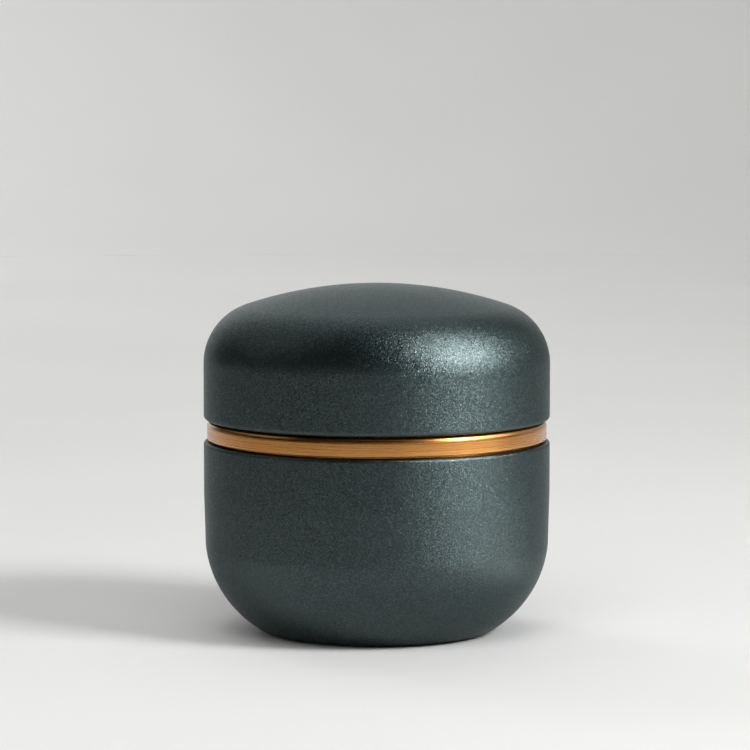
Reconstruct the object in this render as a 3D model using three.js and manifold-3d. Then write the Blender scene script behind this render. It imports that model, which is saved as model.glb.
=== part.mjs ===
// A round inkwell: a powder-coated metal pot and dome lid with a brass neck between them,
// a lift-out glass ink cup inside and a ballast disc in the foot.
// Millimetres, +Z up, origin at the centre of the face that the inkwell stands on.

import * as THREE from "three";
import { mergeVertices } from "three/addons/utils/BufferGeometryUtils.js";
import Module from "manifold-3d";

const wasm = await Module();
wasm.setup();

// ---- Driving dimensions ----------------------------------------------------------------

const segments = 48;              // flats round every turned piece

const outerRadius = 32;           // straight wall of the pot and of the lid
const seatGap = 0.2;              // between pieces that rest on or sit in each other

const footProud = 0.4;            // the foot pad stands this far below the pot
const shellWall = 1.4;
const rimHeight = 35.5;           // top edge of the pot
const taperTop = 26.0;            // the pot's wall is straight above this height
const taperAngle = 1.62;          // degrees, between taperTop and the knee
const bellyRadius = 20.4;
const bellyStartAngle = 6.0;      // degrees below the horizontal, so the knee is a faint crease
const bellyEndAngle = 59.8;       // the foot corner starts here
const cornerRadius = 1.5;
const padRecessRadius = 19.2;
const padRecessDepth = 1.6;
const rimRounding = 0.75;
const innerEdge = 0.35;           // small edge break on hidden corners

const lidWall = 1.2;
const lidEdgeHeight = 39.5;       // lower edge of the closed lid
const lidWallTop = 49.9;          // the lid's wall is straight below this height
const shoulderRadius = 11.15;
const shoulderAngle = 71.45;      // degrees above the horizontal, where the crown starts
const lidEdgeRounding = 0.8;

const bandRadius = 31.4;          // the brass band seen between pot and lid
const bandBottom = 35.9;
const bandTop = 39.2;
const bandCrownHeight = 1.1;      // the top of the band leans in over this height
const bandCrownDepth = 0.45;
const spigotRadius = 30.3;
const spigotBore = 28.4;
const spigotBottom = 29.5;
const boreStep = 38.0;            // the spigot's bore narrows to the neck's bore here
const neckRadius = 29.15;
const neckBore = 27.0;
const neckTop = 46.0;

const ringSection = 0.6;          // radius of the o-ring's round section
const ringCentre = 28.72;
const ringHeight = 43.0;
const grooveRadius = 27.95;
const grooveHalfWidth = 0.8;

const cupRadius = 26.6;
const cupWall = 2.2;
const cupBottom = 10.1;
const cupCorner = 9.0;
const cupPushUp = 0.6;            // the middle of the cup's underside is raised this much
const cupPushUpRadius = 15.0;
const cupFloor = 12.6;            // lowest point of the dished ink floor
const cupFloorRise = 0.8;
const cupTop = 49.4;
const flangeRadius = 28.6;
const flangeThickness = 2.0;
const lipRounding = 0.8;

const ballastBottom = 3.6;
const ballastFootRadius = 22.0;
const ballastRadius = 25.0;
const ballastFlareTop = 5.6;
const ballastTop = 8.0;
const cushionRadius = 17.5;
const cushionThickness = 1.5;

const screwCount = 3;
const screwCircle = 12.5;         // radius of the circle that the screws stand on
const shankRadius = 1.5;
const shankHoleRadius = 1.8;
const shankLength = 5.2;
const headRadius = 2.8;
const headHeight = 1.2;
const headHoleRadius = 3.2;
const socketRadius = 1.15;
const socketDepth = 0.8;

const linerRadius = 30.6;
const linerWall = 1.1;
const linerBottom = 39.8;
const linerCeiling = 51.6;
const linerTop = 52.8;
const linerCorner = 3.0;
const beadRadius = 28.8;          // snap bead that keeps the seal disc in the lid
const beadBottom = 48.7;
const beadTop = 49.35;

const sealRadius = 29.2;
const sealThickness = 1.8;
const gasketBore = 27.2;

// ---- Worked-out heights and centres ----------------------------------------------------

const radians = THREE.MathUtils.degToRad;
const sine = (degrees) => Math.sin(radians(degrees));
const cosine = (degrees) => Math.cos(radians(degrees));
const tangent = (degrees) => Math.tan(radians(degrees));

const padCeiling = footProud + padRecessDepth;
const shellFloor = padCeiling + shellWall;
const cornerDrop = cornerRadius * (1 - sine(bellyEndAngle));
const bellyDrop = bellyRadius * (sine(bellyEndAngle) - sine(bellyStartAngle));
const kneeHeight = footProud + cornerDrop + bellyDrop;
const kneeRadius = outerRadius - (taperTop - kneeHeight) * tangent(taperAngle);
const bellyCentre = new THREE.Vector2(
  kneeRadius - bellyRadius * cosine(bellyStartAngle),
  kneeHeight + bellyRadius * sine(bellyStartAngle),
);

const shoulderCentre = new THREE.Vector2(outerRadius - shoulderRadius, lidWallTop);
const crownRadius = shoulderRadius + shoulderCentre.x / cosine(shoulderAngle);
const crownCentre = lidWallTop - shoulderCentre.x * tangent(shoulderAngle);

const headTop = padCeiling - seatGap;
const linerBore = linerRadius - linerWall;

// ---- Materials -------------------------------------------------------------------------

function material(color, roughness, metalness) {
  return new THREE.MeshStandardMaterial({ color, roughness, metalness });
}

const powderCoat = material(0x2b3634, 0.45, 0.55);
const satinBrass = material(0xb98a52, 0.32, 1.0);
const clearGlass = material(0xdfeae6, 0.05, 0.0);
const zincSteel = material(0x9a9c9e, 0.4, 1.0);
const blackRubber = material(0x1c1c1d, 0.85, 0.0);
const paleSilicone = material(0xd8d5cc, 0.6, 0.0);
const blackPlastic = material(0x232425, 0.55, 0.0);

// ---- Turned shapes ---------------------------------------------------------------------

const point = (radius, height) => new THREE.Vector2(radius, height);

// Points on a round stretch of an outline, both ends included; 0 degrees points outwards
// and 90 degrees up.
function arc(centreRadius, centreHeight, radius, fromAngle, toAngle, steps) {
  const points = [];
  for (let i = 0; i <= steps; i += 1) {
    const angle = fromAngle + (i / steps) * (toAngle - fromAngle);
    points.push(point(centreRadius + radius * cosine(angle), centreHeight + radius * sine(angle)));
  }
  return points;
}

// An outline is listed anticlockwise: underside outwards, outer side up, top inwards.
// A ring's outline is closed on itself here, a solid one starts and ends on the axis.
function turned(outline, flats = segments) {
  const onAxis = outline[0].x === 0;
  const points = onAxis ? outline : [...outline, outline[0]];
  const geometry = new THREE.LatheGeometry(points, flats);
  geometry.rotateX(Math.PI / 2);
  return bare(geometry);
}

// The same surface with shared corners merged and nothing but positions.
function bare(geometry) {
  geometry.deleteAttribute("normal");
  geometry.deleteAttribute("uv");
  return mergeVertices(geometry, 1e-5);
}

function disc(radius, bottom, top, edge) {
  return turned([
    point(0, bottom),
    point(radius - edge, bottom),
    point(radius, bottom + edge),
    point(radius, top - edge),
    point(radius - edge, top),
    point(0, top),
  ]);
}

// ---- Cuts ------------------------------------------------------------------------------

function toSolid(geometry) {
  const mesh = new wasm.Mesh({
    numProp: 3,
    vertProperties: new Float32Array(geometry.attributes.position.array),
    triVerts: new Uint32Array(geometry.index.array),
  });
  return new wasm.Manifold(mesh);
}

function toGeometry(solid) {
  const mesh = solid.getMesh();
  const geometry = new THREE.BufferGeometry();
  geometry.setAttribute("position", new THREE.BufferAttribute(mesh.vertProperties, 3));
  geometry.setIndex(new THREE.BufferAttribute(mesh.triVerts, 1));
  return geometry;
}

function cut(geometry, tools) {
  const solid = tools.reduce((left, tool) => left.subtract(toSolid(tool)), toSolid(geometry));
  return toGeometry(solid);
}

// An upright round or hexagonal post between two heights.
function post(x, y, radius, bottom, top, sides) {
  const geometry = new THREE.CylinderGeometry(radius, radius, top - bottom, sides);
  geometry.rotateX(Math.PI / 2);
  geometry.translate(x, y, (bottom + top) / 2);
  return bare(geometry);
}

function screwPlaces() {
  const places = [];
  for (let i = 0; i < screwCount; i += 1) {
    const angle = 90 + (i * 360) / screwCount;
    places.push(point(screwCircle * cosine(angle), screwCircle * sine(angle)));
  }
  return places;
}

function screwHoles(radius, bottom, top) {
  return screwPlaces().map((place) => post(place.x, place.y, radius, bottom, top, 20));
}

// ---- The pot ---------------------------------------------------------------------------

function bodyShell() {
  const inner = outerRadius - shellWall;
  const innerBelly = bellyRadius - shellWall;
  const floorAngle = THREE.MathUtils.radToDeg(Math.asin((bellyCentre.y - shellFloor) / innerBelly));
  const cornerOffset = bellyRadius - cornerRadius;
  const outline = [
    point(0, padCeiling),
    point(padRecessRadius, padCeiling),
    point(padRecessRadius, footProud),
    ...arc(
      bellyCentre.x + cornerOffset * cosine(bellyEndAngle),
      bellyCentre.y - cornerOffset * sine(bellyEndAngle),
      cornerRadius, -90, -bellyEndAngle, 2,
    ),
    ...arc(
      bellyCentre.x, bellyCentre.y, bellyRadius, -bellyEndAngle, -bellyStartAngle, 9,
    ).slice(1),
    point(outerRadius, taperTop),
    ...arc(outerRadius - rimRounding, rimHeight - rimRounding, rimRounding, 0, 90, 3),
    point(inner + innerEdge, rimHeight),
    point(inner, rimHeight - innerEdge),
    point(inner, taperTop),
    ...arc(bellyCentre.x, bellyCentre.y, innerBelly, -bellyStartAngle, -floorAngle, 6),
    point(0, shellFloor),
  ];
  return cut(turned(outline), screwHoles(shankHoleRadius, 0, shellFloor + 1));
}

function neckCollar() {
  const crownStart = bandTop - bandCrownHeight;
  return turned([
    point(spigotBore, spigotBottom),
    point(spigotRadius - innerEdge, spigotBottom),
    point(spigotRadius, spigotBottom + innerEdge),
    point(spigotRadius, bandBottom),
    point(bandRadius - innerEdge / 2, bandBottom),
    point(bandRadius, bandBottom + innerEdge / 2),
    point(bandRadius, crownStart),
    point(bandRadius - bandCrownDepth * 0.3, crownStart + bandCrownHeight * 0.55),
    point(bandRadius - bandCrownDepth, bandTop),
    point(neckRadius, bandTop),
    point(neckRadius, ringHeight - grooveHalfWidth),
    point(grooveRadius, ringHeight - grooveHalfWidth),
    point(grooveRadius, ringHeight + grooveHalfWidth),
    point(neckRadius, ringHeight + grooveHalfWidth),
    point(neckRadius, neckTop - innerEdge),
    point(neckRadius - innerEdge, neckTop),
    point(neckBore + innerEdge, neckTop),
    point(neckBore, neckTop - innerEdge),
    point(neckBore, boreStep),
    point(spigotBore, boreStep - (spigotBore - neckBore)),
  ]);
}

function neckRing() {
  return turned(arc(ringCentre, ringHeight, ringSection, -180, 180, 8).slice(1));
}

function ballastDisc() {
  const outline = [
    point(0, ballastBottom),
    point(ballastFootRadius, ballastBottom),
    point(ballastRadius, ballastFlareTop),
    point(ballastRadius, ballastTop - innerEdge),
    point(ballastRadius - innerEdge, ballastTop),
    point(0, ballastTop),
  ];
  return cut(turned(outline), screwHoles(shankHoleRadius, ballastBottom - 1, ballastTop + 1));
}

function cupCushion() {
  const bottom = ballastTop + seatGap;
  return disc(cushionRadius, bottom, bottom + cushionThickness, innerEdge);
}

function footPad() {
  const pad = disc(padRecessRadius - 0.3, 0, padCeiling - seatGap, innerEdge);
  return cut(pad, screwHoles(headHoleRadius, -1, padCeiling + 1));
}

// A low-head socket screw, head down, with its head's upper face at height 0.
function baseScrew() {
  const outline = [
    point(0, -headHeight),
    point(headRadius - innerEdge, -headHeight),
    point(headRadius, innerEdge - headHeight),
    point(headRadius, 0),
    point(shankRadius, 0),
    point(shankRadius, shankLength - 0.4),
    point(shankRadius - 0.4, shankLength),
    point(0, shankLength),
  ];
  const socket = post(0, 0, socketRadius, -headHeight - 1, socketDepth - headHeight, 6);
  return cut(turned(outline, 20), [socket]);
}

// ---- The ink cup -----------------------------------------------------------------------

// A shallow dish is the cap of a sphere: its radius, and the angle from the axis to its edge.
function dishRadius(halfWidth, rise) {
  return (halfWidth ** 2 + rise ** 2) / (2 * rise);
}

function dishAngle(halfWidth, rise) {
  return THREE.MathUtils.radToDeg(Math.asin(halfWidth / dishRadius(halfWidth, rise)));
}

function inkCup() {
  const inner = cupRadius - cupWall;
  const innerCorner = cupCorner - cupWall;
  const floorEdge = inner - innerCorner;
  const floor = dishRadius(floorEdge, cupFloorRise);
  const floorAngle = dishAngle(floorEdge, cupFloorRise);
  const flangeBottom = cupTop - flangeThickness;
  return turned([
    point(0, cupBottom + cupPushUp),
    point(cupPushUpRadius / 2, cupBottom + cupPushUp * 0.75),
    point(cupPushUpRadius, cupBottom),
    ...arc(cupRadius - cupCorner, cupBottom + cupCorner, cupCorner, -90, 0, 5),
    point(cupRadius, flangeBottom),
    point(flangeRadius - innerEdge, flangeBottom),
    point(flangeRadius, flangeBottom + innerEdge),
    ...arc(flangeRadius - lipRounding, cupTop - lipRounding, lipRounding, 0, 90, 2),
    ...arc(inner + lipRounding, cupTop - lipRounding, lipRounding, 90, 180, 2),
    ...arc(floorEdge, cupFloor + cupFloorRise + innerCorner, innerCorner, 0, -90, 4),
    ...arc(0, cupFloor + floor, floor, floorAngle - 90, -90, 3).slice(1, -1),
    point(0, cupFloor),
  ]);
}

function cupGasket() {
  const bottom = neckTop + seatGap;
  const top = cupTop - flangeThickness - seatGap;
  return turned([
    point(gasketBore, bottom),
    point(flangeRadius - innerEdge, bottom),
    point(flangeRadius, (bottom + top) / 2),
    point(flangeRadius - innerEdge, top),
    point(gasketBore, top),
  ]);
}

// ---- The lid ---------------------------------------------------------------------------

// The dome's surface from the end of the straight wall to the axis, one wall thickness
// or none inside the outer surface.
function dome(inset, shoulderSteps, crownSteps) {
  const shoulder = arc(
    shoulderCentre.x, shoulderCentre.y, shoulderRadius - inset, 0, shoulderAngle, shoulderSteps,
  );
  const crown = arc(0, crownCentre, crownRadius - inset, shoulderAngle, 90, crownSteps);
  const apex = point(0, crownCentre + crownRadius - inset);
  return [...shoulder, ...crown.slice(1, -1), apex];
}

function lidShell() {
  const inner = outerRadius - lidWall;
  return turned([
    ...dome(lidWall, 5, 3).reverse(),
    point(inner, lidEdgeHeight + innerEdge),
    point(inner + innerEdge, lidEdgeHeight),
    ...arc(
      outerRadius - lidEdgeRounding, lidEdgeHeight + lidEdgeRounding, lidEdgeRounding, -90, 0, 3,
    ),
    ...dome(0, 7, 5),
  ]);
}

function lidLiner() {
  return turned([
    point(0, linerCeiling),
    point(linerBore, linerCeiling),
    point(linerBore, beadTop),
    point(beadRadius, beadTop - 0.15),
    point(beadRadius, beadBottom + 0.15),
    point(linerBore, beadBottom - 0.35),
    point(linerBore, linerBottom + innerEdge),
    point(linerBore + innerEdge, linerBottom),
    point(linerRadius, linerBottom),
    ...arc(linerRadius - linerCorner, linerTop - linerCorner, linerCorner, 0, 90, 4),
    point(0, linerTop),
  ]);
}

function lidSeal() {
  const bottom = cupTop + seatGap;
  return disc(sealRadius, bottom, bottom + sealThickness, innerEdge);
}

// ---- Assembly --------------------------------------------------------------------------

const inkwell = new THREE.Group();

function add(name, geometry, look, parent = inkwell) {
  const mesh = new THREE.Mesh(geometry, look);
  mesh.name = name;
  parent.add(mesh);
  return mesh;
}

add("body_shell", bodyShell(), powderCoat);
add("neck_collar", neckCollar(), satinBrass);
add("neck_o_ring", neckRing(), blackRubber);
add("ballast_disc", ballastDisc(), zincSteel);
add("cup_cushion", cupCushion(), paleSilicone);
add("foot_pad", footPad(), blackRubber);
screwPlaces().forEach((place, index) => {
  const screw = add(`base_screw_${index + 1}`, baseScrew(), zincSteel);
  screw.position.set(place.x, place.y, headTop);
});

add("ink_cup", inkCup(), clearGlass);
add("cup_gasket", cupGasket(), paleSilicone);

add("lid_seal", lidSeal(), paleSilicone);
add("lid_shell", lidShell(), powderCoat);
add("lid_liner", lidLiner(), blackPlastic);

export default inkwell;
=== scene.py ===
"""The looks of the inkwell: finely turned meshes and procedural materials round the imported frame."""

import math

import bpy
import numpy as np
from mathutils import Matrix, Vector


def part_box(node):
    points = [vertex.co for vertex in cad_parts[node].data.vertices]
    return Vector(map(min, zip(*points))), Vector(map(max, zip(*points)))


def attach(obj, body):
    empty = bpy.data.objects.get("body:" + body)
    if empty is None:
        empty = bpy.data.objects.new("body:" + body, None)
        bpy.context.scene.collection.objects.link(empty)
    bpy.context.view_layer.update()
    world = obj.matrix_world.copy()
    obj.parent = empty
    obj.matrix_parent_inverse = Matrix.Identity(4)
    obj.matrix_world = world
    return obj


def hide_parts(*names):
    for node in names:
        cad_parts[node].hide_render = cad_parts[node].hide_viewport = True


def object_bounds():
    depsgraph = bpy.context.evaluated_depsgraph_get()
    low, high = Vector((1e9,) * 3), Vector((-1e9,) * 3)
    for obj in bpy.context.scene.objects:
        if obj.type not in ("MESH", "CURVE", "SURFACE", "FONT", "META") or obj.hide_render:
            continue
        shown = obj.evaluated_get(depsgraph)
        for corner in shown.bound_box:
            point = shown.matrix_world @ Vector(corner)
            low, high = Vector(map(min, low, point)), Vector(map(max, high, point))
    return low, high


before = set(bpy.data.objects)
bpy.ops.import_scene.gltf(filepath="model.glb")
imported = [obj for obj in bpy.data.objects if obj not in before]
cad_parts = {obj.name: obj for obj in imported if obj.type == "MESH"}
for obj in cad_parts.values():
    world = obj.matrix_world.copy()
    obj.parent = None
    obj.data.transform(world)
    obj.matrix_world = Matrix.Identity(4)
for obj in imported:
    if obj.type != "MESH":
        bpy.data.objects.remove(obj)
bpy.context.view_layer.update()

MM = 0.001
SIDES = 192          # flats round a large turned piece
SMALL_SIDES = 48     # flats round a screw
SHARP_ANGLE = 40     # degrees; flatter edges are shaded smooth
SUPPORT = 0.25       # mm from a rounded corner to the points that keep flat faces flat
TIGHT = 0.02         # the same, where corners stand too close together for SUPPORT


# ---- Camera, stage and light ---------------------------------------------------------------


LENS = 200.4                              # mm, on a sensor 36 mm wide
CAMERA_PLACE = (-0.0102, -24.0, 3.8605)   # in radii of the pot
CAMERA_DIP = 5.65                         # degrees below the horizontal


def make_camera():
    """A long lens, well above the lid's height and looking slightly down."""
    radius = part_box("body_shell")[1].x
    data = bpy.data.cameras.new("camera")
    data.lens = LENS
    data.sensor_width = 36
    data.clip_end = 20
    camera = bpy.data.objects.new("camera", data)
    camera.location = [radius * c for c in CAMERA_PLACE]
    camera.rotation_euler = (math.radians(90 - CAMERA_DIP), 0, 0)
    bpy.context.scene.collection.objects.link(camera)
    bpy.context.scene.camera = camera


def direction(azimuth, elevation):
    """A unit vector from the inkwell. Azimuth 0 is the camera's side and 90 its right."""
    turn, rise = math.radians(azimuth), math.radians(elevation)
    return Vector(
        (math.sin(turn) * math.cos(rise), -math.cos(turn) * math.cos(rise), math.sin(rise))
    )


def make_area(name, location, aim, size, power, spread=180):
    """A square lamp at a location in metres, facing the point aim."""
    data = bpy.data.lights.new(name, "AREA")
    data.shape = "SQUARE"
    data.size = size
    data.energy = power
    data.spread = math.radians(spread)
    lamp = bpy.data.objects.new(name, data)
    lamp.location = location
    lamp.rotation_euler = (Vector(location) - Vector(aim)).to_track_quat("Z", "Y").to_euler()
    lamp.visible_camera = False
    bpy.context.scene.collection.objects.link(lamp)
    return lamp


SHINE_AZIMUTH = 62   # degrees; the side of the strongest highlight


def make_lamps():
    """A soft key from the right, lamps for the stage, lamps seen in reflections only, and one
    behind the inkwell that does both."""
    middle = Vector((0, 0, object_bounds()[1].z / 2))
    on_floor = 0.11 * direction(SHINE_AZIMUTH, 0) + Vector((0, 0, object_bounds()[0].z + 0.002))
    reflected = [
        make_area("shine", middle + direction(SHINE_AZIMUTH, 24), middle, 0.32, 13),
        make_area("high_shine", middle + direction(68, 50), middle, 0.30, 6),
        make_area("side_shine", middle + direction(88, 24), middle, 0.5, 1.6),
        make_area("left", middle + 1.2 * direction(-98, 44), middle, 1.0, 1.6),
        make_area("behind", middle + 1.2 * direction(180, 22), middle, 0.9, 1.1),
        make_area("bounce", on_floor, on_floor + Vector((0, 0, 1)), 0.1, 0.06),
    ]
    for lamp in reflected:
        lamp.visible_diffuse = False
    unreflected = [
        make_area("key", middle + direction(57, 34), middle, 0.34, 2.8, spread=110),
        make_area("overhead", (0, -0.6, 1.0), (0, 0, 0), 0.8, 3.5),
        make_area("front", (-0.3, -0.9, 0.8), (0, 0.5, 0), 0.8, 2.1),
        make_area("backdrop", (-0.8, 1.0, 0.9), (-0.5, 1.3, 0.1), 0.5, 4.9),
    ]
    for lamp in unreflected:
        lamp.visible_glossy = False
    make_area("back", middle + 1.2 * direction(180, 60), middle, 1.0, 3.1)


def make_world(colour, strength):
    world = bpy.data.worlds.new("studio")
    world.use_nodes = True
    background = world.node_tree.nodes["Background"]
    background.inputs["Color"].default_value = (*colour, 1)
    background.inputs["Strength"].default_value = strength
    bpy.context.scene.world = world


# ---- Outlines and turned meshes ------------------------------------------------------------


def box_mm(node):
    """A CAD node's radius, lowest and highest point, in millimetres."""
    low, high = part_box(node)
    return (high.x - low.x) / 2 / MM, low.z / MM, high.z / MM


def arc(centre_radius, centre_height, radius, start, end, steps):
    """Points on a round stretch of an outline; 0 degrees points outwards and 90 up."""
    angles = np.radians(np.linspace(start, end, steps + 1))
    return [
        (centre_radius + radius * math.cos(a), centre_height + radius * math.sin(a), 0)
        for a in angles
    ]


def rounded(corners, steps=5, support=SUPPORT):
    """An outline whose corners (radius, height, rounding) are rounded where rounding isn't 0."""
    outline = []
    for i, (radius, height, rounding) in enumerate(corners):
        here = Vector((radius, height))
        if rounding == 0:
            outline.append(tuple(here))
            continue
        before = (Vector(corners[i - 1][:2]) - here).normalized()
        after = (Vector(corners[(i + 1) % len(corners)][:2]) - here).normalized()
        half = before.angle(after) / 2
        reach = rounding / math.tan(half)
        centre = here + (before + after).normalized() * rounding / math.sin(half)
        first, last = here + before * reach - centre, here + after * reach - centre
        outline.append(tuple(here + before * (reach + support)))
        for step in range(steps + 1):
            spoke = first.lerp(last, step / steps).normalized() * rounding
            outline.append(tuple(centre + spoke))
        outline.append(tuple(here + after * (reach + support)))
    return outline


def make_mesh(name, points, faces):
    mesh = bpy.data.meshes.new(name)
    mesh.from_pydata([tuple(MM * c for c in p) for p in points], [], faces)
    mesh.validate()
    piece = bpy.data.objects.new(name, mesh)
    bpy.context.scene.collection.objects.link(piece)
    smooth(piece)
    return piece


def smooth(piece):
    mesh = piece.data
    mesh.polygons.foreach_set("use_smooth", [True] * len(mesh.polygons))
    mesh.set_sharp_from_angle(angle=math.radians(SHARP_ANGLE))


def turned(name, outline, sides=SIDES, ripple=None, place=(0, 0)):
    """Revolves an outline of (radius, height) points, listed anticlockwise, about an upright
    axis. It starts and ends on the axis, or else closes on itself. ripple(radius, height, angle)
    gives the radius where the piece isn't round."""
    points, rows = [], []
    for radius, height in outline:
        first = len(points)
        if radius < 1e-6:
            points.append((place[0], place[1], height))
            rows.append([first] * sides)
            continue
        for i in range(sides):
            angle = 2 * math.pi * i / sides
            reach = ripple(radius, height, angle) if ripple else radius
            points.append(
                (place[0] + reach * math.cos(angle), place[1] + reach * math.sin(angle), height)
            )
        rows.append(range(first, first + sides))
    pairs = list(zip(rows, rows[1:]))
    if outline[0][0] > 1e-6:
        pairs.append((rows[-1], rows[0]))
    faces = []
    for lower, upper in pairs:
        for i in range(sides):
            j = (i + 1) % sides
            corners = dict.fromkeys((lower[i], lower[j], upper[j], upper[i]))
            faces.append(tuple(corners))
    return make_mesh(name, points, faces)


def screw_places():
    places = []
    for node in sorted(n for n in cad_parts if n.startswith("base_screw_")):
        low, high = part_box(node)
        places.append(((low.x + high.x) / 2 / MM, (low.y + high.y) / 2 / MM))
    return places


def apply_modifiers(piece):
    graph = bpy.context.evaluated_depsgraph_get()
    mesh = bpy.data.meshes.new_from_object(piece.evaluated_get(graph))
    piece.modifiers.clear()
    piece.data = mesh


def drill(piece, radius, bottom, top, edge=0.15):
    """Cuts the round screw holes through a piece and breaks their edges."""
    cutters = []
    for i, place in enumerate(screw_places()):
        outline = [(0, bottom), (radius, bottom), (radius, top), (0, top)]
        cutters.append(turned(f"cutter_{i}", outline, SMALL_SIDES, place=place))
    for cutter in cutters:
        cut = piece.modifiers.new("cut", "BOOLEAN")
        cut.operation = "DIFFERENCE"
        cut.solver = "EXACT"
        cut.object = cutter
    bevel = piece.modifiers.new("edge", "BEVEL")
    bevel.width = edge * MM
    bevel.segments = 3
    bevel.limit_method = "ANGLE"
    bevel.angle_limit = math.radians(SHARP_ANGLE)
    apply_modifiers(piece)
    for cutter in cutters:
        bpy.data.objects.remove(cutter)
    smooth(piece)


# ---- Material building ---------------------------------------------------------------------


class Look:
    """A material's node tree and short ways to add to it. Sizes in patterns are in mm."""

    def __init__(self, name):
        self.material = bpy.data.materials.new(name)
        self.material.use_nodes = True
        self.tree = self.material.node_tree
        self.shader = self.tree.nodes["Principled BSDF"]
        self.place = self.tree.nodes.new("ShaderNodeTexCoord").outputs["Object"]

    def set(self, **values):
        """Sets sockets of the shader; a name's words are joined by underscores."""
        for name, value in values.items():
            socket = self.shader.inputs[name.replace("_", " ").title().replace("Ior", "IOR")]
            if isinstance(value, bpy.types.NodeSocket):
                self.tree.links.new(value, socket)
            else:
                socket.default_value = (*value, 1) if isinstance(value, tuple) else value

    def add(self, kind, output, inputs, **settings):
        node = self.tree.nodes.new(kind)
        for name, value in settings.items():
            setattr(node, name, value)
        for name, value in inputs.items():
            socket = node.inputs[name]
            if isinstance(value, bpy.types.NodeSocket):
                self.tree.links.new(value, socket)
            else:
                socket.default_value = value
        return node.outputs[output]

    def noise(self, size, detail=2.0):
        """A smooth 0 to 1 noise whose blobs are about size mm across."""
        inputs = {"Vector": self.place, "Scale": 1 / (size * MM), "Detail": detail}
        return self.add("ShaderNodeTexNoise", "Fac", inputs)

    def cells(self, size, output="Color"):
        """Cells about size mm across, each with its own random colour."""
        inputs = {"Vector": self.place, "Scale": 1 / (size * MM)}
        return self.add("ShaderNodeTexVoronoi", output, inputs)

    def math(self, operation, a, b=0.0):
        return self.add("ShaderNodeMath", "Value", {0: a, 1: b}, operation=operation)

    def vector(self, operation, *values):
        inputs = dict(enumerate(values))
        return self.add("ShaderNodeVectorMath", "Vector", inputs, operation=operation)

    def spread(self, value, low, high, new_low=0.0, new_high=1.0):
        """Maps low..high of a value to new_low..new_high, smoothly and within those."""
        inputs = {
            "Value": value,
            "From Min": low,
            "From Max": high,
            "To Min": new_low,
            "To Max": new_high,
        }
        return self.add("ShaderNodeMapRange", "Result", inputs, interpolation_type="SMOOTHSTEP")

    def mix(self, factor, a, b):
        """Mixes two colours; 6, 7 and 2 are the mix node's colour sockets."""
        inputs = {"Factor": factor, 6: (*a, 1) if isinstance(a, tuple) else a}
        inputs[7] = (*b, 1) if isinstance(b, tuple) else b
        return self.add("ShaderNodeMix", 2, inputs, data_type="RGBA")

    def bump(self, height, depth, normal=None):
        """Raises the surface by height times depth mm."""
        inputs = {"Height": height, "Distance": depth * MM}
        if normal:
            inputs["Normal"] = normal
        return self.add("ShaderNodeBump", "Normal", inputs)

    def tilt(self, size, amount, normal):
        """Tips the surface a different way in every cell about size mm across."""
        scale = (2 * amount, 2 * amount, 2 * amount)
        shift = self.vector("SUBTRACT", self.cells(size), (0.5, 0.5, 0.5))
        return self.vector("NORMALIZE", self.vector("MULTIPLY_ADD", shift, scale, normal))

    def round_about(self, along, across):
        """Coordinates for marks that run round the Z axis: along mm round, across mm up."""
        x, y, z = (
            self.add("ShaderNodeSeparateXYZ", axis, {"Vector": self.place}) for axis in "XYZ"
        )
        angle = self.math("ARCTAN2", y, x)
        square = self.math("ADD", self.math("MULTIPLY", x, x), self.math("MULTIPLY", y, y))
        radius = self.math("SQRT", square)
        arms = {
            "X": self.math("MULTIPLY", self.math("SINE", angle), 1 / along),
            "Y": self.math("MULTIPLY", self.math("COSINE", angle), 1 / along),
            "Z": self.math("DIVIDE", self.math("ADD", z, radius), across * MM),
        }
        return self.add("ShaderNodeCombineXYZ", "Vector", arms)

    def lathe_marks(self, along, across):
        """A noise drawn out round the Z axis, with the sizes that round_about takes."""
        inputs = {"Vector": self.round_about(along, across), "Scale": 1.0, "Detail": 3.0}
        return self.add("ShaderNodeTexNoise", "Fac", inputs)


# ---- Materials -----------------------------------------------------------------------------


def powder_coat():
    """Dark green metallic powder coat: flakes under a clear skin with a sandy grain."""
    look = Look("powder_coat")
    flakes = look.add("ShaderNodeSeparateColor", "Red", {"Color": look.cells(0.17)})
    cloud = look.spread(look.noise(14, detail=3), 0.3, 0.7)
    dark = look.mix(cloud, (0.012, 0.026, 0.026), (0.016, 0.030, 0.030))
    skin = look.bump(look.noise(0.17, detail=1), 0.06, normal=look.bump(look.noise(1.4), 0.02))
    grain = look.tilt(0.16, 0.13, skin)
    look.set(
        base_color=look.mix(look.spread(flakes, 0.5, 0.95), dark, (0.042, 0.073, 0.073)),
        metallic=1.0,
        specular_tint=(0.56, 0.61, 0.61),
        roughness=look.spread(look.noise(0.5), 0.3, 0.7, 0.35, 0.41),
        normal=grain,
        coat_weight=0.20,
        coat_roughness=0.28,
        coat_ior=2.4,
        coat_normal=grain,
    )
    return look.material


def satin_brass():
    """Turned and lacquered brass: fine marks round the band and a slow change of tone."""
    look = Look("satin_brass")
    lines = look.lathe_marks(0.6, 0.12)
    cloud = look.noise(9, detail=2)
    tone = look.mix(look.spread(cloud, 0.3, 0.7), (0.50, 0.215, 0.046), (0.56, 0.252, 0.060))
    look.set(
        base_color=look.mix(look.spread(lines, 0.45, 0.8), tone, (0.66, 0.32, 0.10)),
        metallic=1.0,
        roughness=look.spread(lines, 0.25, 0.75, 0.24, 0.33),
        normal=look.bump(lines, 0.005),
        coat_weight=0.45,
        coat_roughness=0.25,
    )
    return look.material


def clear_glass():
    look = Look("clear_glass")
    look.set(
        base_color=(0.93, 0.97, 0.955),
        roughness=look.spread(look.noise(6, detail=3), 0.3, 0.8, 0.01, 0.04),
        transmission_weight=1.0,
        ior=1.5,
        normal=look.bump(look.noise(9, detail=1), 0.03),
    )
    return look.material


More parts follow.
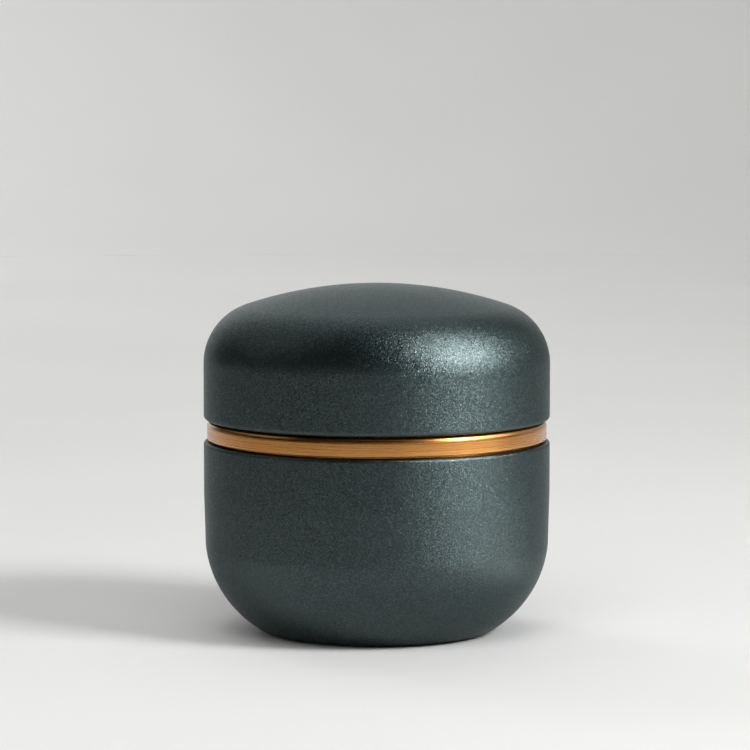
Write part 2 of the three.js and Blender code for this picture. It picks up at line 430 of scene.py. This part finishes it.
def zinc_steel():
    """Zinc plated steel with lathe marks round the axis."""
    look = Look("zinc_steel")
    lines = look.lathe_marks(0.8, 0.2)
    cloud = look.noise(5, detail=3)
    look.set(
        base_color=look.mix(look.spread(cloud, 0.3, 0.7), (0.42, 0.43, 0.44), (0.56, 0.56, 0.55)),
        metallic=1.0,
        roughness=look.spread(lines, 0.3, 0.7, 0.3, 0.46),
        normal=look.bump(lines, 0.012),
    )
    return look.material


def black_rubber():
    look = Look("black_rubber")
    dust = look.spread(look.noise(3, detail=4), 0.5, 0.8)
    look.set(
        base_color=look.mix(dust, (0.014, 0.014, 0.015), (0.035, 0.034, 0.033)),
        roughness=look.spread(look.noise(0.6), 0.3, 0.7, 0.68, 0.88),
        normal=look.bump(look.noise(0.22, detail=3), 0.02),
    )
    return look.material


def pale_silicone():
    look = Look("pale_silicone")
    cloud = look.spread(look.noise(6, detail=3), 0.3, 0.7)
    look.set(
        base_color=look.mix(cloud, (0.60, 0.585, 0.54), (0.68, 0.665, 0.62)),
        roughness=look.spread(look.noise(0.8), 0.3, 0.7, 0.42, 0.58),
        subsurface_weight=0.25,
        subsurface_scale=0.002,
        normal=look.bump(look.noise(0.5, detail=3), 0.008),
    )
    return look.material


def black_plastic():
    look = Look("black_plastic")
    cloud = look.spread(look.noise(7, detail=3), 0.3, 0.7)
    look.set(
        base_color=look.mix(cloud, (0.018, 0.019, 0.020), (0.028, 0.029, 0.031)),
        roughness=look.spread(look.noise(0.4), 0.3, 0.7, 0.42, 0.56),
        normal=look.bump(look.cells(0.35, "Distance"), 0.02),
    )
    return look.material


def stage_paint():
    look = Look("stage_paint")
    cloud = look.spread(look.noise(180, detail=2), 0.3, 0.7)
    look.set(
        base_color=look.mix(cloud, (0.80, 0.80, 0.79), (0.82, 0.82, 0.81)),
        roughness=0.9,
        specular_ior_level=0.2,
    )
    return look.material


# ---- The pot -------------------------------------------------------------------------------

SHELL_WALL = 1.4
RECESS_RADIUS = 19.2
RECESS_DEPTH = 1.6
TAPER_TOP = 26.0
TAPER = 1.62
BELLY_RADIUS = 20.4
BELLY_START = 6.0
BELLY_END = 59.8
CORNER = 1.5
KNEE_SUPPORT = 0.3   # above the knee, where the taper starts
RIM_ROUNDING = 0.55
SHANK_HOLE = 1.8     # radius of the holes that the screws pass through
HEAD_HOLE = 3.2      # radius of the foot's holes for their heads


def pot_outline():
    radius, foot, rim = box_mm("body_shell")
    start, end = math.radians(BELLY_START), math.radians(BELLY_END)
    knee = (
        foot + CORNER * (1 - math.sin(end)) + BELLY_RADIUS * (math.sin(end) - math.sin(start))
    )
    knee_radius = radius - (TAPER_TOP - knee) * math.tan(math.radians(TAPER))
    centre = (knee_radius - BELLY_RADIUS * math.cos(start), knee + BELLY_RADIUS * math.sin(start))
    reach = BELLY_RADIUS - CORNER
    inner_belly = BELLY_RADIUS - SHELL_WALL
    floor = foot + RECESS_DEPTH + SHELL_WALL
    floor_angle = math.degrees(math.asin((centre[1] - floor) / inner_belly))
    inner = radius - SHELL_WALL
    return rounded(
        [
            (0, foot + RECESS_DEPTH, 0),
            (RECESS_RADIUS, foot + RECESS_DEPTH, 0.3),
            (RECESS_RADIUS, foot, 0.3),
            *arc(
                centre[0] + reach * math.cos(end),
                centre[1] - reach * math.sin(end),
                CORNER, -90, -BELLY_END, 5,
            ),
            *arc(centre[0], centre[1], BELLY_RADIUS, -BELLY_END, -BELLY_START, 40)[1:],
            (knee_radius + KNEE_SUPPORT * math.tan(math.radians(TAPER)), knee + KNEE_SUPPORT, 0),
            (radius, TAPER_TOP, 8.0),
            (radius, rim, RIM_ROUNDING),
            (inner, rim, 0.35),
            (inner, TAPER_TOP, 4.0),
            *arc(centre[0], centre[1], inner_belly, -BELLY_START, -floor_angle, 20),
            (0, floor, 0),
        ]
    )


def make_pot(coat):
    pot = turned("pot", pot_outline())
    _, foot, _ = box_mm("body_shell")
    drill(pot, SHANK_HOLE, foot, foot + 6)
    finish(pot, coat, "base", "body_shell")


SPIGOT_RADIUS = 30.3    # the part pressed into the pot
SPIGOT_BORE = 28.4
BAND_BOTTOM = 35.9
BAND_TOP = 39.2
CROWN_HEIGHT = 1.1      # the band's upper edge leans in over this height
CROWN_DEPTH = 0.45
CROWN_TURN = 77.4       # degrees of a quarter ellipse that it follows
CROWN_STEPS = 8
FLAT_START = 0.57       # from the band's face to the flat part of its top
NECK_RADIUS = 29.15
NECK_BORE = 27.0
BORE_STEP_BOTTOM = 36.6   # the bore narrows over these heights
BORE_STEP_TOP = 38.0
GROOVE_RADIUS = 27.95
GROOVE_HALF = 0.8


def crown(radius):
    """The band's upper edge, which leans in along an ellipse."""
    points = []
    for i in range(CROWN_STEPS + 1):
        angle = math.radians(CROWN_TURN * i / CROWN_STEPS)
        reach = radius - CROWN_DEPTH * (1 - math.cos(angle))
        points.append((reach, BAND_TOP - CROWN_HEIGHT * (1 - math.sin(angle)), 0))
    points.append((radius - FLAT_START, BAND_TOP, 0))
    return points


def make_collar(brass):
    radius, spigot_bottom, neck_top = box_mm("neck_collar")
    groove = sum(box_mm("neck_o_ring")[1:]) / 2
    corners = [
        (SPIGOT_BORE, spigot_bottom, 0.3),
        (SPIGOT_RADIUS, spigot_bottom, 0.3),
        (SPIGOT_RADIUS, BAND_BOTTOM, 0),
        (radius, BAND_BOTTOM, 0.22),
        *crown(radius),
        (NECK_RADIUS, BAND_TOP, 0.12),
        (NECK_RADIUS, groove - GROOVE_HALF, 0.1),
        (GROOVE_RADIUS, groove - GROOVE_HALF, 0.1),
        (GROOVE_RADIUS, groove + GROOVE_HALF, 0.1),
        (NECK_RADIUS, groove + GROOVE_HALF, 0.1),
        (NECK_RADIUS, neck_top, 0.4),
        (NECK_BORE, neck_top, 0.4),
        (NECK_BORE, BORE_STEP_TOP, 0.4),
        (SPIGOT_BORE, BORE_STEP_BOTTOM, 0.4),
    ]
    collar = turned("brass_collar", rounded(corners))
    finish(collar, brass, "base", "neck_collar")


def make_neck_ring(rubber):
    radius, bottom, top = box_mm("neck_o_ring")
    section = (top - bottom) / 2
    ring = turned(
        "collar_ring",
        [p[:2] for p in arc(radius - section, (bottom + top) / 2, section, -180, 165, 23)],
    )
    finish(ring, rubber, "base", "neck_o_ring")


def make_weight(steel):
    """The ballast: a disc with a chamfered foot and a shallow groove turned in its top."""
    radius, bottom, top = box_mm("ballast_disc")
    foot_radius, chamfer_height = 22.0, 2.0
    groove_outside, groove_inside, groove_depth, groove_slope = 19.0, 18.0, 0.25, 0.3
    corners = [
        (0, bottom, 0),
        (foot_radius, bottom, 0.4),
        (radius, bottom + chamfer_height, 0.6),
        (radius, top, 0.5),
        (groove_outside, top, 0),
        (groove_outside - groove_slope, top - groove_depth, 0.1),
        (groove_inside + groove_slope, top - groove_depth, 0.1),
        (groove_inside, top, 0),
        (0, top, 0),
    ]
    weight = turned("weight_disc", rounded(corners))
    drill(weight, SHANK_HOLE, bottom - 1, top + 1, edge=0.25)
    finish(weight, steel, "base", "ballast_disc")


def make_cup_pad(silicone):
    """A disc with round grooves moulded into its upper face."""
    radius, bottom, top = box_mm("cup_cushion")
    half_mouth, half_floor, depth = 0.6, 0.35, 0.35
    corners = [(0, bottom, 0), (radius, bottom, 0.3), (radius, top, 0.35)]
    for groove in (15.5, 12.5, 9.5, 6.5, 3.5):
        corners += [
            (groove + half_mouth, top, 0.12),
            (groove + half_floor, top - depth, 0.12),
            (groove - half_floor, top - depth, 0.12),
            (groove - half_mouth, top, 0.12),
        ]
    corners.append((0, top, 0))
    pad = turned("cup_pad", rounded(corners, 3, TIGHT))
    finish(pad, silicone, "base", "cup_cushion")


def make_foot(rubber):
    radius, bottom, top = box_mm("foot_pad")
    corners = [(0, bottom, 0), (radius, bottom, 0.35), (radius, top, 0.35), (0, top, 0)]
    foot = turned("rubber_foot", rounded(corners))
    drill(foot, HEAD_HOLE, bottom - 1, top + 1, edge=0.25)
    finish(foot, rubber, "base", "foot_pad")


SHANK_RADIUS = 1.5
HEAD_HEIGHT = 1.2
THREAD_PITCH = 0.5
THREAD_DEPTH = 0.2
THREAD_STEP = 0.0625    # mm between two rings of points
THREAD_START = 0.3      # above the head
THREAD_END = 0.4        # below the tip
TIP_CHAMFER = 0.35
KEY_RADIUS = 1.15       # to the corners of the hexagon
KEY_DEPTH = 0.8
KEY_POINT = 0.15        # how much deeper the socket is in its middle


def rolled_thread(start):
    """A ripple that rolls a thread into the shank above the height start."""

    def ripple(radius, height, angle):
        if abs(radius - SHANK_RADIUS) > 0.01 or height <= start:
            return radius
        phase = (height / THREAD_PITCH - angle / (2 * math.pi)) % 1
        return radius - THREAD_DEPTH * abs(2 * phase - 1)

    return ripple


def screw_outline(head_radius, bottom, top):
    head_top = bottom + HEAD_HEIGHT
    head = [
        (0, bottom, 0),
        (head_radius, bottom, 0.3),
        (head_radius, head_top, 0.12),
        (SHANK_RADIUS, head_top, 0),
    ]
    first = head_top + THREAD_START
    rings = int((top - THREAD_END - first) / THREAD_STEP)
    shank = [(SHANK_RADIUS, first + THREAD_STEP * k) for k in range(rings)]
    return rounded(head) + shank + [(SHANK_RADIUS - TIP_CHAMFER, top), (0, top)]


def make_screws(steel):
    """Low-head socket screws, head down, with a rolled thread."""
    for i, place in enumerate(screw_places(), 1):
        node = f"base_screw_{i}"
        head_radius, bottom, top = box_mm(node)
        screw = turned(
            f"foot_screw_{i}",
            screw_outline(head_radius, bottom, top),
            SMALL_SIDES,
            ripple=rolled_thread(bottom + HEAD_HEIGHT + 0.1),
            place=place,
        )
        cut_socket(screw, place, bottom)
        finish(screw, steel, "base", node)


def cut_socket(screw, place, bottom):
    """A hexagonal key socket in the lower face of a screw's head."""
    outline = [
        (0, bottom - 1),
        (KEY_RADIUS, bottom - 1),
        (KEY_RADIUS, bottom + KEY_DEPTH),
        (0, bottom + KEY_DEPTH + KEY_POINT),
    ]
    key = turned("key", outline, 6, place=place)
    cut = screw.modifiers.new("cut", "BOOLEAN")
    cut.operation = "DIFFERENCE"
    cut.solver = "EXACT"
    cut.object = key
    apply_modifiers(screw)
    bpy.data.objects.remove(key)
    smooth(screw)


# ---- The ink cup ---------------------------------------------------------------------------


def make_cup(glass):
    """The ink cup: a flange with a round lip, a hollow underside and a dished floor."""
    flange, bottom, top = box_mm("ink_cup")
    radius, wall, corner = 26.6, 2.2, 9.0
    flange_height, lip = 2.0, 0.8
    hollow_radius, hollow_depth, hollow_steps = 15, 0.6, 8
    inner = radius - wall
    inner_corner = corner - wall
    floor_edge = inner - inner_corner
    floor, rise = bottom + 2.5, 0.8
    dish = (floor_edge**2 + rise**2) / (2 * rise)
    dish_angle = math.degrees(math.asin(floor_edge / dish))
    corners = []
    for k in range(hollow_steps + 1):
        wave = (1 + math.cos(math.pi * k / hollow_steps)) / 2
        corners.append((hollow_radius * k / hollow_steps, bottom + hollow_depth * wave, 0))
    corners += [
        *arc(radius - corner, bottom + corner, corner, -90, 0, 24),
        (radius, top - flange_height, 0.3),
        (flange, top - flange_height, 0.35),
        *arc(flange - lip, top - lip, lip, 0, 90, 6),
        *arc(inner + lip, top - lip, lip, 90, 180, 6),
        *arc(floor_edge, floor + rise + inner_corner, inner_corner, 0, -90, 20),
        *arc(0, floor + dish, dish, dish_angle - 90, -90, 8)[1:-1],
        (0, floor, 0),
    ]
    cup = turned("glass_cup", rounded(corners))
    finish(cup, glass, "cup", "ink_cup")


def make_gasket(silicone):
    radius, bottom, top = box_mm("cup_gasket")
    bore = 27.2
    corners = [
        (bore, bottom, 0.15),
        (radius, bottom, 0.3),
        (radius, top, 0.3),
        (bore, top, 0.15),
    ]
    gasket = turned("cup_flange_gasket", rounded(corners, 4, TIGHT))
    finish(gasket, silicone, "cup", "cup_gasket")


# ---- The lid -------------------------------------------------------------------------------

LID_WALL = 1.2
LID_WALL_TOP = 49.9
SHOULDER = 11.15
SHOULDER_ANGLE = 71.45   # degrees of the shoulder, where the flatter crown takes over


def dome(radius, inset, shoulder_steps, crown_steps):
    """The dome from the end of the straight wall to the axis, inset mm inside the outside."""
    centre = radius - SHOULDER
    slope = math.radians(SHOULDER_ANGLE)
    crown_radius = SHOULDER + centre / math.cos(slope)
    crown_centre = LID_WALL_TOP - centre * math.tan(slope)
    apex = crown_centre + crown_radius - inset
    return [
        *arc(centre, LID_WALL_TOP, SHOULDER - inset, 0, SHOULDER_ANGLE, shoulder_steps),
        *arc(0, crown_centre, crown_radius - inset, SHOULDER_ANGLE, 90, crown_steps)[1:-1],
        (0, apex, 0),
    ]


def make_lid(coat):
    radius, edge, _ = box_mm("lid_shell")
    corners = [
        *reversed(dome(radius, LID_WALL, 16, 10)),
        (radius - LID_WALL, edge, 0.35),
        (radius, edge, 0.8),
        *dome(radius, 0, 40, 28),
    ]
    lid = turned("dome_lid", rounded(corners, 7))
    finish(lid, coat, "lid", "lid_shell")


def make_sleeve(plastic):
    """The liner: a cup whose bore slides over the neck, with a snap bead that holds the seal."""
    radius, bottom, top = box_mm("lid_liner")
    wall, ceiling, corner = 1.1, 51.6, 3.0
    bead, bead_bottom, bead_top = 28.8, 48.85, 49.2
    slope_below, slope_above = 0.5, 0.15
    bore = radius - wall
    corners = [
        (0, ceiling, 0),
        (bore, ceiling, 0.3),
        (bore, bead_top + slope_above, 0.08),
        (bead, bead_top, 0.12),
        (bead, bead_bottom, 0.12),
        (bore, bead_bottom - slope_below, 0.3),
        (bore, bottom, 0.35),
        (radius, bottom, 0.3),
        *arc(radius - corner, top - corner, corner, 0, 90, 12),
        (0, top, 0),
    ]
    sleeve = turned("lid_sleeve", rounded(corners, 4, TIGHT))
    finish(sleeve, plastic, "lid", "lid_liner")


def make_seal(silicone):
    """The seal disc: a flat rim for the cup's lip, and a low ring in its dished middle."""
    radius, bottom, top = box_mm("lid_seal")
    dish, ring = bottom + 0.5, bottom + 0.1
    ring_inside, ring_outside, ring_slope = 16.6, 17.6, 0.6
    rim_inside, rim_slope = 22.4, 0.8
    corners = [
        (0, dish, 0),
        (ring_inside - ring_slope, dish, 0.3),
        (ring_inside, ring, 0.2),
        (ring_outside, ring, 0.2),
        (ring_outside + ring_slope, dish, 0.3),
        (rim_inside - rim_slope, dish, 0.3),
        (rim_inside, bottom, 0.3),
        (radius, bottom, 0.3),
        (radius, top, 0.35),
        (0, top, 0),
    ]
    seal = turned("seal_disc", rounded(corners, 4, TIGHT))
    finish(seal, silicone, "seal", "lid_seal")


# ---- Assembly ------------------------------------------------------------------------------


def finish(piece, material, body, node):
    """Gives a piece its material and its place in the frame, and hides the CAD node it stands for."""
    piece.data.materials.clear()
    piece.data.materials.append(material)
    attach(piece, body)
    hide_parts(node)


def swept(name, outline, start, end, sides):
    """Sweeps an open outline of (radius, height) points from one azimuth to another, as a sheet."""
    points, faces = [], []
    for i in range(sides + 1):
        spoke = direction(start + (end - start) * i / sides, 0)
        points += [(spoke.x * r, spoke.y * r, z) for r, z in outline]
    for i in range(sides):
        for k in range(len(outline) - 1):
            here = i * len(outline) + k
            there = here + len(outline)
            faces.append((here, there, there + 1, here + 1))
    return make_mesh(name, points, faces)


FLOOR_RADIUS = 1000
SWEEP = 500                       # radius of the sweep from the floor to the wall
WALL_TOP = 1100
BACK_START, BACK_END = 110, 216   # azimuths of the wall that shows in reflections


def make_stage():
    """A pale floor that sweeps up into a wall all round. Only the wall behind the inkwell shows
    in its reflections, as in a studio that is dark behind the camera."""
    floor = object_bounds()[0].z / MM
    wall = [p[:2] for p in arc(FLOOR_RADIUS, floor + SWEEP, SWEEP, -90, 0, 40)]
    wall.append((FLOOR_RADIUS + SWEEP, floor + WALL_TOP))
    level = [(0.001, floor), (200, floor), (FLOOR_RADIUS, floor)]
    ground = swept("ground", level, 0, 360, 96)
    back_wall = swept("back_wall", wall, BACK_START, BACK_END, 32)
    front_wall = swept("front_wall", wall, BACK_END - 360, BACK_START, 62)
    front_wall.visible_glossy = False
    paint = stage_paint()
    for part in (ground, back_wall, front_wall):
        part.data.materials.append(paint)


make_camera()
bpy.context.scene.view_settings.view_transform = "Standard"
make_world((1, 1, 1), 0.02)
make_lamps()
make_stage()

coat = powder_coat()
brass = satin_brass()
steel = zinc_steel()
rubber = black_rubber()
silicone = pale_silicone()
make_pot(coat)
make_collar(brass)
make_neck_ring(rubber)
make_weight(steel)
make_cup_pad(silicone)
make_foot(rubber)
make_screws(steel)
make_cup(clear_glass())
make_gasket(silicone)
make_lid(coat)
make_sleeve(black_plastic())
make_seal(silicone)
